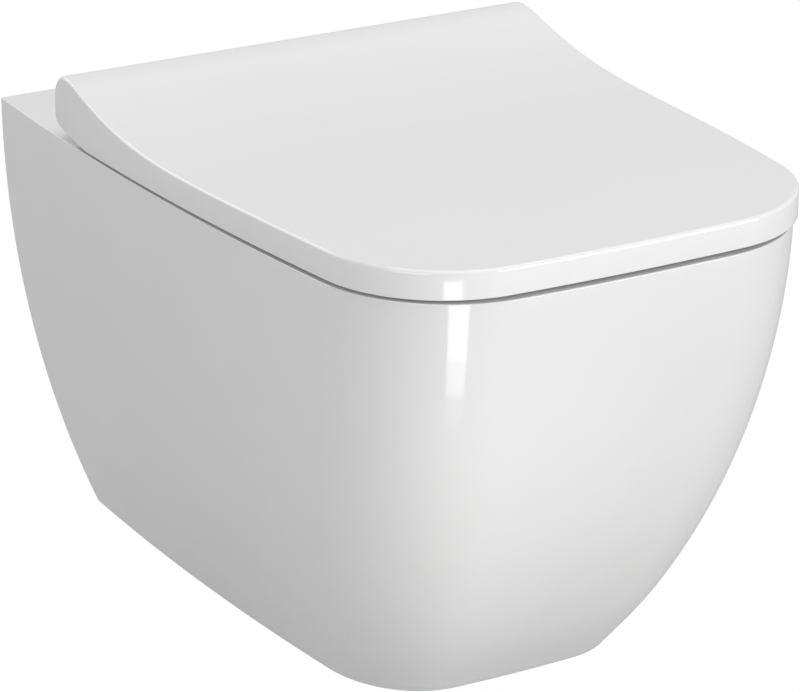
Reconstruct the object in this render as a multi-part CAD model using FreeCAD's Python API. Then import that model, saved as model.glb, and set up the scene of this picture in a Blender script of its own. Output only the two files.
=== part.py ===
import FreeCAD, Part
import math
import os
from collections import namedtuple

V = FreeCAD.Vector

# Frame: +Z up, +X to the right seen from the front, the front looks along -Y.
# The wall is the plane Y = 0. The origin lies on it, midway between the two wall studs.

# ---------------------------------------------------------------- driving sizes, mm

# Standard wall connections, all measured from the stud line
stud_spacing = 180.0
stud_hole_radius = 12.0
stud_clear_radius = 6.5
inlet_height = 35.0
inlet_radius = 27.5
inlet_depth = 60.0
flush_pipe_radius = 22.5
outlet_drop = 100.0
spigot_radius = 51.0
spigot_bore_radius = 41.0
spigot_length = 42.0
spigot_setback = 3.0
spigot_neck_length = 42.0
sleeve_flange_radius = 17.0
sleeve_flange_thickness = 3.0
washer_radius = 18.0
washer_thickness = 2.5
seal_depth = 46.0
seal_lip_length = 8.0
seal_lip_step = 2.5
seal_grooves = 2
seal_groove_width = 3.0
seal_groove_depth = 1.2

# Ceramic body
deck_height = 80.0
body_length = 540.0
body_depth = 324.0
deck_thickness = 14.0
floor_thickness = 10.0
skirt_wall = 12.0
web_thickness = 18.0
web_depth = 115.0
side_sweep_radius = 805.0
front_sweep_radius = 500.0
front_sweep_centre_above_deck = 20.0
deck_edge_radius = 3.0
underside_edge_radius = 6.0
edge_midway = 0.293
wall_overrun = 1.0
body_steps = 6
hollow_steps = 5
access_half_width = 62.0
access_from_wall = 24.0
access_length = 118.0

# Bowl
bowl_wall = 10.0
rim_half_width = 121.0
rim_front_margin = 50.0
rim_back = 205.0
rim_band_depth = 26.0
channel_radius = 22.0
channel_wall = 9.0

# Trapway
trap_radius = 27.0
trap_wall = 9.0
trap_seal_depth = 52.0
trap_bend_radius = 44.0
trap_mitres = 3
trap_floor_length = 18.0
sump_from_wall = 284.0
sump_floor_clearance = 11.0
bowl_above_trap = 18.0
bowl_aim_height = 245.536

# Seat and lid
lid_gap = 3.0
lid_wall = 5.0
lid_roof = 4.0
lid_back_from_wall = 102.3
lid_back_straight = 31.0
lid_back_rounding = 15.0
lid_heel_height = 17.5
lid_heel_radius = 8.0
lid_heel_turn = 80.0
lid_heel_sag = 1.2
lid_level_from_wall = 150.0
lid_front_setback = 1.0
lid_front_overrun = 5.0
lid_edge_chamfer = 2.0
ring_side_clearance = 2.5
ring_underside = 5.0
ring_thickness = 9.5
ring_half_opening = 108.0
ring_opening_margin = 66.0
ring_opening_back = 222.0
ring_edge_chamfer = 2.5
buffer_length = 26.0
buffer_width = 11.0
buffer_free_gap = 0.3
ring_buffer_margin = 104.0
lid_buffer_margin = 94.0
ring_back_from_hinge = 28.0
ring_arm_overlap = 2.0
ring_arm_foot = 10.0
ring_arm_step = 1.0

# Hinges
hinge_spacing = 155.0
hinge_from_wall = 122.0
hinge_above_deck = 23.0
pin_radius = 4.0
pin_running_gap = 0.06
block_width = 30.0
block_radius = 13.0
block_front = 22.0
block_front_height = 13.5
block_edge_chamfer = 1.0
notch_side_gap = 1.0
lug_width = 20.0
lug_radius = 10.0
lug_side_gap = 0.75
damper_radius = 7.5
damper_end = 3.0
damper_flat_depth = 2.0
bush_radius = 5.5
post_radius = 7.0
post_height = 12.0
post_disc_radius = 15.0
post_disc_thickness = 3.0
gasket_thickness = 1.5
slide_gap = 0.1
face_gap = 0.3
screw_radius = 3.0
screw_head_radius = 5.0
screw_head_height = 4.5
screw_length = 54.0
screw_socket_radius = 2.5
catch_groove_width = 3.0
catch_groove_depth = 1.5
deck_hole_radius = 7.25
boss_radius = 18.0
boss_depth = 8.0
sleeve_length = 34.0
anchor_nut_height = 9.0
button_radius = 4.2
button_height_on_post = 7.0
button_travel = 3.0
button_proud = 3.5
button_cap_depth = 4.0
button_bore_depth = 11.0
button_stem_radius = 1.6
spring_wire_half = 0.35
spring_turns = 2

# The plan outline of a body: half width at the wall, greatest half width and where it lies,
# distance from the wall to the front, and the radii of the front corners and of the front
Plan = namedtuple("Plan", "wall_half widest_half widest_at length corner_radius front_radius")
pan_plan = Plan(176.0, 183.0, 195.0, body_length, 99.0, 1760.0)
lid_plan = Plan(177.0, 184.5, 194.0, body_length - lid_front_setback, 93.0, 1780.0)

# The bowl's half section: distance along its leaning axis from the sump, and radius there
bowl_profile = [(0.0, 24.0), (20.0, 36.0), (55.0, 51.0), (115.0, 75.0),
                (180.0, 98.0), (250.0, 114.0), (300.0, 133.0)]

# The lid's wave from the crest to the front: distance from the wall, height above the deck
wave_points = [(126.0, 45.3), (150.0, 38.6), (198.0, 28.2), (246.0, 22.6),
               (300.0, 20.8), (420.0, 21.6), (body_length + lid_front_overrun, 23.2)]

# Buffers: distance from the wall and from the middle, behind and in front
ring_buffer_places = [(252.0, 150.0), (body_length - ring_buffer_margin, 128.0)]
lid_buffer_places = [(262.0, 140.0), (body_length - lid_buffer_margin, 112.0)]

# ---------------------------------------------------------------- levels and places

underside = deck_height - body_depth
rim_front = body_length - rim_front_margin
rim_middle = (rim_front + rim_back) / 2
ring_opening_front = body_length - ring_opening_margin
hinge_y = -hinge_from_wall
hinge_z = deck_height + hinge_above_deck
hinge_x = hinge_spacing / 2
lid_bottom = deck_height + lid_gap
ring_bottom = deck_height + ring_underside
ring_top = ring_bottom + ring_thickness
ring_back = hinge_from_wall + ring_back_from_hinge
lid_crest_from_wall = lid_back_from_wall + lid_back_rounding
gasket_top = deck_height + gasket_thickness
disc_top = gasket_top + post_disc_thickness
block_bottom = disc_top + face_gap
block_inner = hinge_x - block_width / 2
block_outer = hinge_x + block_width / 2
ring_lug_span = (block_inner - lug_side_gap - lug_width, block_inner - lug_side_gap)
lid_lug_span = (block_outer + lug_side_gap, block_outer + lug_side_gap + lug_width)
button_z = disc_top + button_height_on_post
trap_low = underside + sump_floor_clearance + trap_radius
trap_high = trap_low + trap_radius + trap_seal_depth + trap_radius
bowl_lean = math.degrees(math.atan2(rim_middle - sump_from_wall, bowl_aim_height))
wide = 400.0


# ---------------------------------------------------------------- shape helpers

def box(x0, x1, y0, y1, z0, z1):
    return Part.makeBox(x1 - x0, y1 - y0, z1 - z0, V(x0, y0, z0))


def rod_x(radius, x0, x1, y=hinge_y, z=hinge_z):
    return Part.makeCylinder(radius, x1 - x0, V(x0, y, z), V(1, 0, 0))


def rod_y(radius, y0, y1, x, z):
    return Part.makeCylinder(radius, y1 - y0, V(x, y0, z), V(0, 1, 0))


def rod_z(radius, z0, z1, x, y):
    return Part.makeCylinder(radius, z1 - z0, V(x, y, z0))


def mirrored(shape):
    return shape.mirror(V(0, 0, 0), V(1, 0, 0))


def arc_about(centre, radius, start, end):
    middle = (start - centre) + (end - centre)
    middle.normalize()
    return Part.Arc(start, centre + middle * radius, end).toShape()


def circles_cross(centre_a, radius_a, centre_b, radius_b):
    """The crossing of two circles that lies to the front right."""
    between = centre_b - centre_a
    gap = between.Length
    along = (radius_a ** 2 - radius_b ** 2 + gap ** 2) / (2 * gap)
    across = math.sqrt(radius_a ** 2 - along ** 2)
    unit = between * (1 / gap)
    foot = centre_a + unit * along
    offset = V(-unit.y, unit.x, 0) * across
    options = [foot + offset, foot - offset]
    return min(options, key=lambda point: point.y - point.x)


def outline_wire(plan, inset=0.0):
    """Plan outline at Z = 0: a line behind the wall plane, side arcs, corner arcs, bowed front."""
    bulge = plan.widest_half - plan.wall_half
    side_radius = (plan.widest_at ** 2 + bulge ** 2) / (2 * bulge)
    side_centre = V(plan.widest_half - side_radius, -plan.widest_at, 0)
    front_centre = V(0, plan.front_radius - plan.length, 0)
    corner_centre = circles_cross(side_centre, side_radius - plan.corner_radius,
                                  front_centre, plan.front_radius - plan.corner_radius)
    to_corner = (corner_centre - side_centre).normalize()
    to_front = (corner_centre - front_centre).normalize()
    side_radius -= inset
    corner_end = side_centre + to_corner * side_radius
    front_end = front_centre + to_front * (plan.front_radius - inset)
    wall_x = side_centre.x + math.sqrt(side_radius ** 2 - (wall_overrun - side_centre.y) ** 2)
    wall_end = V(wall_x, wall_overrun, 0)
    side = arc_about(side_centre, side_radius, wall_end, corner_end)
    corner = arc_about(corner_centre, plan.corner_radius - inset, corner_end, front_end)
    left_end = V(-front_end.x, front_end.y, 0)
    front = arc_about(front_centre, plan.front_radius - inset, front_end, left_end)
    wall = Part.makeLine(V(-wall_x, wall_overrun, 0), wall_end)
    return Part.Wire([wall, side, corner, front, mirrored(corner), mirrored(side)])


def body_section(depth, inset=0.0):
    """The ceramic's outline at a depth below the deck: the deck outline drawn in both ways."""
    half = pan_plan.wall_half - side_sweep_radius + math.sqrt(side_sweep_radius ** 2 - depth ** 2)
    start = front_sweep_centre_above_deck
    full = math.sqrt(front_sweep_radius ** 2 - start ** 2)
    here = math.sqrt(front_sweep_radius ** 2 - (start + depth) ** 2)
    length = pan_plan.length - full + here
    scale = FreeCAD.Matrix()
    scale.A11 = half / pan_plan.wall_half
    scale.A22 = length / pan_plan.length
    scale.A34 = deck_height - depth
    return outline_wire(pan_plan, inset).transformGeometry(scale)


def body_loft(levels):
    """The body through outlines at pairs of depth below the deck and inset."""
    return Part.makeLoft([body_section(depth, inset) for depth, inset in levels], True, True)


def evenly(first, last, steps, inset):
    return [(first + (last - first) * i / steps, inset) for i in range(steps + 1)]


def ellipse_wire(z, front, back, half_width):
    """A level oval: front and back are distances from the wall."""
    half_length = (front - back) / 2
    centre = V(0, -(front + back) / 2, z)
    arms = sorted([V(0, half_length, 0), V(half_width, 0, 0)], key=lambda arm: -arm.Length)
    curve = Part.Ellipse(centre + arms[0], centre + arms[1], centre)
    return Part.Wire([curve.toShape()])


def plate_of(plan, inset, z0, z1):
    face = Part.Face(outline_wire(plan, inset))
    face.translate(V(0, 0, z0))
    return face.extrude(V(0, 0, z1 - z0))


def profile_prism(edges, x0, x1):
    """A closed outline drawn in the plane X = 0, extruded from x0 to x1."""
    face = Part.Face(Part.Wire(edges))
    face.translate(V(x0, 0, 0))
    return face.extrude(V(x1 - x0, 0, 0))


def side_point(from_wall, above_deck):
    return V(0, -from_wall, deck_height + above_deck)


def chain(points):
    return [Part.makeLine(a, b) for a, b in zip(points, points[1:])]


def export(name, *solids):
    shape = solids[0] if len(solids) == 1 else Part.makeCompound(list(solids))
    shape.exportStep("parts/" + name + ".step")


# ---------------------------------------------------------------- ceramic pan

def bowl_room(grow, top):
    """The bowl turned round its leaning axis, with the upright band above the flush ledge."""
    turned = [V(radius + grow, 0, along) for along, radius in bowl_profile]
    corners = [V(0, 0, -grow), V(turned[0].x, 0, -grow)] + turned + [V(0, 0, turned[-1].z)]
    bowl = Part.Face(Part.makePolygon(corners + corners[:1])).revolve(V(0, 0, 0), V(0, 0, 1), 360.0)
    bowl.rotate(V(0, 0, 0), V(1, 0, 0), bowl_lean)
    bowl.translate(V(0, -sump_from_wall, trap_low + bowl_above_trap))
    ledge = deck_height - rim_band_depth
    bowl = bowl.cut(box(-wide, wide, -2 * wide, wide, ledge, 2 * wide))
    band = ellipse_wire(ledge - grow, rim_front + grow, rim_back - grow, rim_half_width + grow)
    return bowl.fuse(Part.Face(band).extrude(V(0, 0, top - ledge + grow)))


def bend_points(centre, start, end):
    """Corners of a mitred bend in the plane X = 0, between two angles from +Y towards +Z."""
    angles = [math.radians(start + (end - start) * i / trap_mitres) for i in range(trap_mitres + 1)]
    return [centre + V(0, math.cos(angle), math.sin(angle)) * trap_bend_radius for angle in angles]


def trap_pipe(radius):
    """The trapway from the sump, under the seal and over the weir to the outlet neck."""
    bend = trap_bend_radius
    low_in = V(0, -sump_from_wall + bend, trap_low + bend)
    low_out = low_in + V(0, trap_floor_length, 0)
    crest = V(0, low_out.y + 2 * bend, trap_high - bend)
    start = V(0, -sump_from_wall, low_in.z + bend / 2)
    neck = V(0, -(spigot_setback + spigot_length + spigot_neck_length), trap_high)
    points = [start] + bend_points(low_in, 180.0, 270.0) + bend_points(low_out, 270.0, 360.0)
    points += bend_points(crest, 180.0, 90.0) + [neck]
    pipe = Part.BRepOffsetAPI.MakePipeShell(Part.makePolygon(points))
    pipe.setTransitionMode(1)
    pipe.add(Part.Wire([Part.Circle(start, V(0, 0, 1), radius).toShape()]))
    pipe.build()
    pipe.makeSolid()
    return pipe.shape()


def outlet_neck(narrow_radius, broad_radius):
    """The cone between the trapway and the spigot."""
    start = V(0, -(spigot_setback + spigot_length + spigot_neck_length), -outlet_drop)
    return Part.makeCone(narrow_radius, broad_radius, spigot_neck_length, start, V(0, 1, 0))


def ceramic_body():
    """The outer form, softened round the deck and the underside, and flat against the wall."""
    soft = deck_edge_radius
    low = underside_edge_radius
    levels = [(0.0, soft), (soft * edge_midway, soft * edge_midway)]
    levels += evenly(soft, body_depth - low, body_steps, 0.0)
    levels += [(body_depth - low * edge_midway, low * edge_midway), (body_depth, low)]
    return body_loft(levels).cut(box(-wide, wide, 0.0, wide, -wide, wide))


def hinge_bosses():
    top = deck_height - deck_thickness
    boss = rod_z(boss_radius, top - boss_depth, top, hinge_x, hinge_y)
    return [boss, mirrored(boss)]


def ceramic_pan():
    body = ceramic_body()
    hollow = body_loft(evenly(deck_thickness, body_depth - floor_thickness, hollow_steps, skirt_wall))
    web = box(-wide, wide, -web_thickness, 1.0, deck_height - web_depth, deck_height)
    spigot_front = -(spigot_setback + spigot_length)
    kept = [web,
            bowl_room(bowl_wall, deck_height),
            trap_pipe(trap_radius + trap_wall),
            outlet_neck(trap_radius + trap_wall, spigot_radius),
            rod_y(spigot_radius, spigot_front, -spigot_setback, 0, -outlet_drop),
            rod_y(inlet_radius + channel_wall, -inlet_depth - channel_wall, 0.0, 0, inlet_height),
            rod_y(channel_radius + channel_wall, -rim_back - bowl_wall, 0.0, 0, inlet_height)]
    kept += hinge_bosses()
    for shape in kept:
        hollow = hollow.cut(shape)
    pan = body.cut(hollow)
    voids = [bowl_room(0.0, deck_height + 1.0),
             trap_pipe(trap_radius),
             outlet_neck(trap_radius, spigot_bore_radius),
             rod_y(spigot_bore_radius, spigot_front, 1.0, 0, -outlet_drop),
             rod_y(inlet_radius, -inlet_depth, 1.0, 0, inlet_height),
             rod_y(channel_radius, -rim_back - 4 * bowl_wall, 0.0, 0, inlet_height),
             box(-access_half_width, access_half_width, -access_length, -access_from_wall,
                 underside - 1.0, underside + floor_thickness + 1.0)]
    for side in (-1, 1):
        voids.append(rod_y(stud_hole_radius, -web_thickness - 1.0, 1.0, side * stud_spacing / 2, 0))
        voids.append(rod_z(deck_hole_radius, deck_height - deck_thickness - boss_depth - 1.0,
                           deck_height + 1.0, side * hinge_x, hinge_y))
    for shape in voids:
        pan = pan.cut(shape)
    return pan.Solids[0]


# ---------------------------------------------------------------- wall connections

def stud_sleeve(side):
    """Flanged nylon sleeve that centres the ceramic on a wall stud."""
    x = side * stud_spacing / 2
    sleeve = rod_y(stud_hole_radius, -web_thickness, 0.0, x, 0)
    flange = rod_y(sleeve_flange_radius, -web_thickness - sleeve_flange_thickness, -web_thickness, x, 0)
    bore = rod_y(stud_clear_radius, -wide, 1.0, x, 0)
    return sleeve.fuse(flange).cut(bore)


def stud_washer(side):
    x = side * stud_spacing / 2
    back = -web_thickness - sleeve_flange_thickness
    disc = rod_y(washer_radius, back - washer_thickness, back, x, 0)
    return disc.cut(rod_y(stud_clear_radius, -wide, 1.0, x, 0))


def inlet_seal():
    """Rubber collar between the flush pipe and the ceramic, with a lip behind and three ribs."""
    collar = rod_y(inlet_radius, -seal_depth, 0.0, 0, inlet_height)
    lip = rod_y(inlet_radius - seal_lip_step, -seal_depth - seal_lip_length, -seal_depth,
                0, inlet_height)
    seal = collar.fuse(lip)
    seal = seal.cut(rod_y(flush_pipe_radius, -wide, 1.0, 0, inlet_height))
    for i in range(seal_grooves):
        y = -seal_depth * (i + 1) / (seal_grooves + 1)
        low = y - seal_groove_width / 2
        high = y + seal_groove_width / 2
        groove = rod_y(inlet_radius + 1.0, low, high, 0, inlet_height)
        groove = groove.cut(rod_y(inlet_radius - seal_groove_depth, low, high, 0, inlet_height))
        seal = seal.cut(groove)
    return seal


# ---------------------------------------------------------------- hinge posts on the deck

def hexagon_prism(radius, z, height):
    corners = [V(hinge_x + radius * math.cos(math.radians(60 * i)),
                 hinge_y + radius * math.sin(math.radians(60 * i)), z) for i in range(7)]
    return Part.Face(Part.makePolygon(corners)).extrude(V(0, 0, height))


def post_gasket():
    gasket = rod_z(post_disc_radius, deck_height, gasket_top, hinge_x, hinge_y)
    return gasket.cut(rod_z(screw_radius, deck_height - 1.0, gasket_top + 1.0, hinge_x, hinge_y))


def hinge_post():
    """Disc and pin on the deck, drilled for its fixing screw, with a catch groove round the pin."""
    disc = rod_z(post_disc_radius, gasket_top, disc_top, hinge_x, hinge_y)
    disc = disc.makeChamfer(1.0, [edge for edge in disc.Edges
                                  if edge.BoundBox.ZMin > disc_top - 0.01])
    pin = rod_z(post_radius, disc_top, disc_top + post_height, hinge_x, hinge_y)
    pin = pin.makeChamfer(1.0, [edge for edge in pin.Edges
                                if edge.BoundBox.ZMin > disc_top + post_height - 0.01])
    groove_low = disc_top + post_height / 2 - catch_groove_width / 2
    groove = rod_z(post_radius + 1.0, groove_low, groove_low + catch_groove_width, hinge_x, hinge_y)
    groove = groove.cut(rod_z(post_radius - catch_groove_depth, groove_low - 1.0,
                              groove_low + catch_groove_width + 1.0, hinge_x, hinge_y))
    post = disc.fuse(pin).cut(groove)
    head_seat = disc_top + post_height - screw_head_height
    post = post.cut(rod_z(screw_head_radius, head_seat, hinge_z, hinge_x, hinge_y))
    return post.cut(rod_z(screw_radius, deck_height, hinge_z, hinge_x, hinge_y))


def post_screw():
    """Socket-head screw that draws the anchor nut up into its sleeve."""
    seat = disc_top + post_height - screw_head_height
    head = rod_z(screw_head_radius, seat, seat + screw_head_height, hinge_x, hinge_y)
    half = screw_head_height / 2
    head = head.cut(hexagon_prism(screw_socket_radius, seat + half, half))
    return head.fuse(rod_z(screw_radius, seat - screw_length, seat, hinge_x, hinge_y))


def anchor_sleeve():
    """Rubber sleeve that swells against the hole through the deck."""
    sleeve = rod_z(deck_hole_radius, deck_height - sleeve_length, deck_height, hinge_x, hinge_y)
    return sleeve.cut(rod_z(screw_radius, 0.0, hinge_z, hinge_x, hinge_y))


def anchor_nut():
    """Hexagon nut under the sleeve."""
    top = deck_height - sleeve_length
    nut = hexagon_prism(deck_hole_radius, top - anchor_nut_height, anchor_nut_height)
    return nut.cut(rod_z(screw_radius, 0.0, hinge_z, hinge_x, hinge_y))


# ---------------------------------------------------------------- hinge blocks

def hinge_block():
    """Lift-off housing: a foot over the post, a barrel round the hinge pin, a button bore."""
    front = hinge_y - block_front
    back = hinge_y + block_radius
    slope = block_radius * math.sqrt(0.5)
    shoulder = V(0, hinge_y - slope, hinge_z + slope)
    top = V(0, hinge_y, hinge_z + block_radius)
    back_level = V(0, back, hinge_z)
    edges = chain([back_level, V(0, back, block_bottom), V(0, front, block_bottom),
                   V(0, front, block_bottom + block_front_height), shoulder])
    edges.append(Part.Arc(shoulder, top, back_level).toShape())
    block = profile_prism(edges, block_inner, block_outer)
    rims = [edge for edge in block.Edges if edge.BoundBox.XLength < 0.01]
    block = block.makeChamfer(block_edge_chamfer, rims)
    block = block.cut(rod_z(post_radius + slide_gap, block_bottom - 1.0,
                            disc_top + post_height + face_gap, hinge_x, hinge_y))
    block = block.cut(rod_x(pin_radius, block_inner - 1.0, block_outer + 1.0))
    block = block.cut(rod_y(button_radius + slide_gap, front - 1.0, front + button_bore_depth,
                            hinge_x, button_z))
    return block.cut(rod_y(button_stem_radius + slide_gap, front, hinge_y, hinge_x, button_z))


def hinge_pin():
    pin = rod_x(pin_radius, ring_lug_span[0] + 1.0, lid_lug_span[1] - 1.0)
    return pin.makeChamfer(0.8, pin.Edges)


def release_button():
    """Round button with a stem that reaches the catch groove of the post."""
    front = hinge_y - block_front
    cap = rod_y(button_radius, front - button_proud, front + button_cap_depth, hinge_x, button_z)
    cap = cap.makeChamfer(0.8, [edge for edge in cap.Edges
                                if edge.BoundBox.YMax < front - button_proud + 0.01])
    reach = hinge_y - post_radius - button_travel - face_gap
    return cap.fuse(rod_y(button_stem_radius, front + button_cap_depth, reach, hinge_x, button_z))


def button_spring():
    """Return spring of square wire round the stem, seated on the floor of the button bore."""
    floor = hinge_y - block_front + button_bore_depth
    length = button_bore_depth - button_cap_depth - button_travel - face_gap
    rise = length - 2 * spring_wire_half
    coil_radius = button_stem_radius + spring_wire_half + slide_gap
    coil = Part.makeHelix(rise / spring_turns, rise, coil_radius)
    half = spring_wire_half
    corners = [V(coil_radius + side, 0, level)
               for side, level in ((half, half), (-half, half), (-half, -half), (half, -half))]
    spring = Part.Wire(coil).makePipeShell([Part.makePolygon(corners + corners[:1])], True, True)
    spring.rotate(V(0, 0, 0), V(1, 0, 0), 90.0)
    spring.translate(V(hinge_x, floor - spring_wire_half, button_z))
    return spring


def damper(lug):
    """Rotary soft-close cartridge pressed into a lug, running on the hinge pin."""
    body = rod_x(damper_radius, lug[0], lug[1])
    half_flat = damper_radius - damper_flat_depth
    levels = [(half_flat, damper_radius), (-damper_radius, -half_flat)]
    flats = [box(lug[0] + damper_end, lug[1] - damper_end, hinge_y - damper_radius,
                 hinge_y + damper_radius, hinge_z + low, hinge_z + high) for low, high in levels]
    for flat in flats:
        body = body.cut(flat)
    return body.cut(rod_x(pin_radius + pin_running_gap, lug[0] - 1.0, lug[1] + 1.0))


def bush(lug):
    body = rod_x(bush_radius, lug[0], lug[1])
    return body.cut(rod_x(pin_radius + pin_running_gap, lug[0] - 1.0, lug[1] + 1.0))


# ---------------------------------------------------------------- seat ring

def buffer_pad(x, from_wall, z0, z1):
    pad = box(x - buffer_width / 2, x + buffer_width / 2, -from_wall - buffer_length / 2,
              -from_wall + buffer_length / 2, z0, z1)
    upright = [edge for edge in pad.Edges if edge.BoundBox.ZMax - edge.BoundBox.ZMin > (z1 - z0) / 2]
    return pad.makeFillet(buffer_width / 2 - 0.5, upright)


def ring_lug_arm():
    """Arm from the back of the ring up to the barrel round the hinge pin."""
    inside = -ring_back - ring_arm_overlap
    low = ring_bottom + ring_arm_step
    outline = [V(0, hinge_y, hinge_z + lug_radius), V(0, inside, ring_top), V(0, inside, low),
               V(0, inside + ring_arm_foot, low), V(0, hinge_y, hinge_z - lug_radius),
               V(0, hinge_y, hinge_z + lug_radius)]
    arm = profile_prism(chain(outline), ring_lug_span[0], ring_lug_span[1])
    return arm.fuse(rod_x(lug_radius, ring_lug_span[0], ring_lug_span[1]))


def seat_ring():
    ring = plate_of(lid_plan, lid_wall + ring_side_clearance, ring_bottom, ring_top)
    ring = ring.cut(box(-wide, wide, -ring_back, 1.0, 0.0, wide))
    opening = ellipse_wire(ring_bottom - 1.0, ring_opening_front, ring_opening_back, ring_half_opening)
    ring = ring.cut(Part.Face(opening).extrude(V(0, 0, ring_thickness + 2.0)))
    crown = [edge for edge in ring.Edges if edge.BoundBox.ZMin > ring_top - 0.01]
    ring = ring.makeChamfer(ring_edge_chamfer, crown)
    for arm in (ring_lug_arm(), mirrored(ring_lug_arm())):
        ring = ring.fuse(arm)
    ring = ring.cut(rod_x(damper_radius, ring_lug_span[0] - 1.0, ring_lug_span[1] + 1.0))
    return ring.cut(mirrored(rod_x(bush_radius, ring_lug_span[0] - 1.0, ring_lug_span[1] + 1.0)))


def ring_buffers():
    pads = [buffer_pad(x, from_wall, deck_height + buffer_free_gap, ring_bottom)
            for from_wall, x in ring_buffer_places]
    return pads + [mirrored(pad) for pad in pads]


# ---------------------------------------------------------------- lid

def wave_edge(drop):
    """The wave seen from the side, from the crest to the front, lowered by the roof thickness."""
    points = [side_point(lid_crest_from_wall, lid_back_straight + lid_back_rounding - drop)]
    points += [side_point(from_wall, height - drop) for from_wall, height in wave_points]
    curve = Part.BSplineCurve()
    curve.interpolate(Points=points)
    return curve.toShape()


def lid_top_edges(roof):
    """Back rounding and wave, and the two points where they end."""
    shoulder = side_point(lid_back_from_wall + roof, lid_back_straight)
    centre = side_point(lid_crest_from_wall, lid_back_straight)
    radius = lid_back_rounding - roof
    nose = side_point(wave_points[-1][0], wave_points[-1][1] - roof)
    edges = [arc_about(centre, radius, shoulder, centre + V(0, 0, radius)), wave_edge(roof)]
    return edges, shoulder, nose


def lid_outer_profile():
    """The lower edge runs level, lifts towards the back and rounds up into the back face."""
    edges, shoulder, nose = lid_top_edges(0.0)
    heel = side_point(lid_back_from_wall, lid_heel_height)
    heel_centre = heel + V(0, -lid_heel_radius, 0)
    turn = math.radians(lid_heel_turn)
    tuck = heel_centre + V(0, math.cos(turn), -math.sin(turn)) * lid_heel_radius
    level = side_point(lid_level_from_wall, lid_gap)
    edges += chain([nose, V(0, nose.y, lid_bottom), level])
    edges.append(Part.Arc(level, (level + tuck) * 0.5 - V(0, 0, lid_heel_sag), tuck).toShape())
    edges.append(arc_about(heel_centre, lid_heel_radius, tuck, heel))
    return edges + chain([heel, shoulder])


def lid_space():
    """The room under the lid, open below."""
    edges, shoulder, nose = lid_top_edges(lid_roof)
    edges += chain([nose, V(0, nose.y, 0), V(0, shoulder.y, 0), shoulder])
    space = profile_prism(edges, -wide, wide)
    return space.common(plate_of(lid_plan, lid_wall, 0.0, wide))


def is_lid_rim(edge):
    """Edges where the wave or the back rounding meets the upright sides and front."""
    span = edge.BoundBox
    return span.ZMin > deck_height + lid_heel_height and span.YLength > 1.0


def lid_lug():
    """Barrel round the hinge pin, hung from the roof of the lid."""
    hanger = box(lid_lug_span[0], lid_lug_span[1], hinge_y - lug_radius, hinge_y + lug_radius,
                 hinge_z, wide)
    return hanger.fuse(rod_x(lug_radius, lid_lug_span[0], lid_lug_span[1]))


def seat_lid():
    shell = profile_prism(lid_outer_profile(), -wide, wide)
    shell = shell.common(plate_of(lid_plan, 0.0, deck_height, wide))
    shell = shell.makeChamfer(lid_edge_chamfer, [edge for edge in shell.Edges if is_lid_rim(edge)])
    lid = shell.cut(lid_space())
    for lug in (lid_lug(), mirrored(lid_lug())):
        lid = lid.fuse(lug.common(shell))
    notch = box(ring_lug_span[0] - notch_side_gap, block_outer + lug_side_gap / 2,
                hinge_y + block_radius, 0.0, 0.0, wide)
    lid = lid.cut(notch).cut(mirrored(notch))
    lid = lid.cut(rod_x(bush_radius, lid_lug_span[0] - 1.0, lid_lug_span[1] + 1.0))
    return lid.cut(mirrored(rod_x(damper_radius, lid_lug_span[0] - 1.0, lid_lug_span[1] + 1.0)))


def lid_buffers():
    """Pads between the ring and the roof of the lid."""
    space = lid_space()
    pads = [buffer_pad(x, from_wall, ring_top + buffer_free_gap, hinge_z).common(space)
            for from_wall, x in lid_buffer_places]
    return pads + [mirrored(pad) for pad in pads]


# ---------------------------------------------------------------- all pieces

os.makedirs("parts", exist_ok=True)

export("ceramic_pan", ceramic_pan())
export("inlet_seal", inlet_seal())
export("stud_sleeves", stud_sleeve(-1), stud_sleeve(1))
export("stud_washers", stud_washer(-1), stud_washer(1))
export("post_gaskets", mirrored(post_gasket()), post_gasket())
export("post_screws", mirrored(post_screw()), post_screw())
export("anchor_sleeves", mirrored(anchor_sleeve()), anchor_sleeve())
export("anchor_nuts", mirrored(anchor_nut()), anchor_nut())
export("hinge_posts", mirrored(hinge_post()), hinge_post())
export("hinge_blocks", mirrored(hinge_block()), hinge_block())
export("hinge_pins", mirrored(hinge_pin()), hinge_pin())
export("button_springs", mirrored(button_spring()), button_spring())
export("release_button_left", mirrored(release_button()))
export("release_button_right", release_button())
export("seat_ring", seat_ring())
export("ring_buffers", *ring_buffers())
export("ring_damper", damper(ring_lug_span))
export("ring_hinge_bush", mirrored(bush(ring_lug_span)))
export("seat_lid", seat_lid())
export("lid_buffers", *lid_buffers())
export("lid_damper", mirrored(damper(lid_lug_span)))
export("lid_hinge_bush", bush(lid_lug_span))
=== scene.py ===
import math

import bmesh
import bpy
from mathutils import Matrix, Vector


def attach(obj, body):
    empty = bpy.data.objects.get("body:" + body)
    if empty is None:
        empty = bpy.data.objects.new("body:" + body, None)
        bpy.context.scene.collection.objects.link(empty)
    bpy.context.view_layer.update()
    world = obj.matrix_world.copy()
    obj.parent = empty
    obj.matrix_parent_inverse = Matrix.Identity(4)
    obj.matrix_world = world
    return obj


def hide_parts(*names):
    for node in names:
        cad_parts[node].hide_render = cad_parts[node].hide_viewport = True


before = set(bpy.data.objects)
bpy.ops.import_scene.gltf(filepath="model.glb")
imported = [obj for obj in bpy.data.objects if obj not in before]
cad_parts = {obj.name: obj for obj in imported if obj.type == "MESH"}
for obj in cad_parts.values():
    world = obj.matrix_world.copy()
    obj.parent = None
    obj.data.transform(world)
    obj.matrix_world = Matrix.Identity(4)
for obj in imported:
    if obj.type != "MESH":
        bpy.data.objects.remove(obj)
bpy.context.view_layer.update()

mm = 0.001

# ---------------------------------------------------------------- sizes of the toilet, in mm

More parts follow.
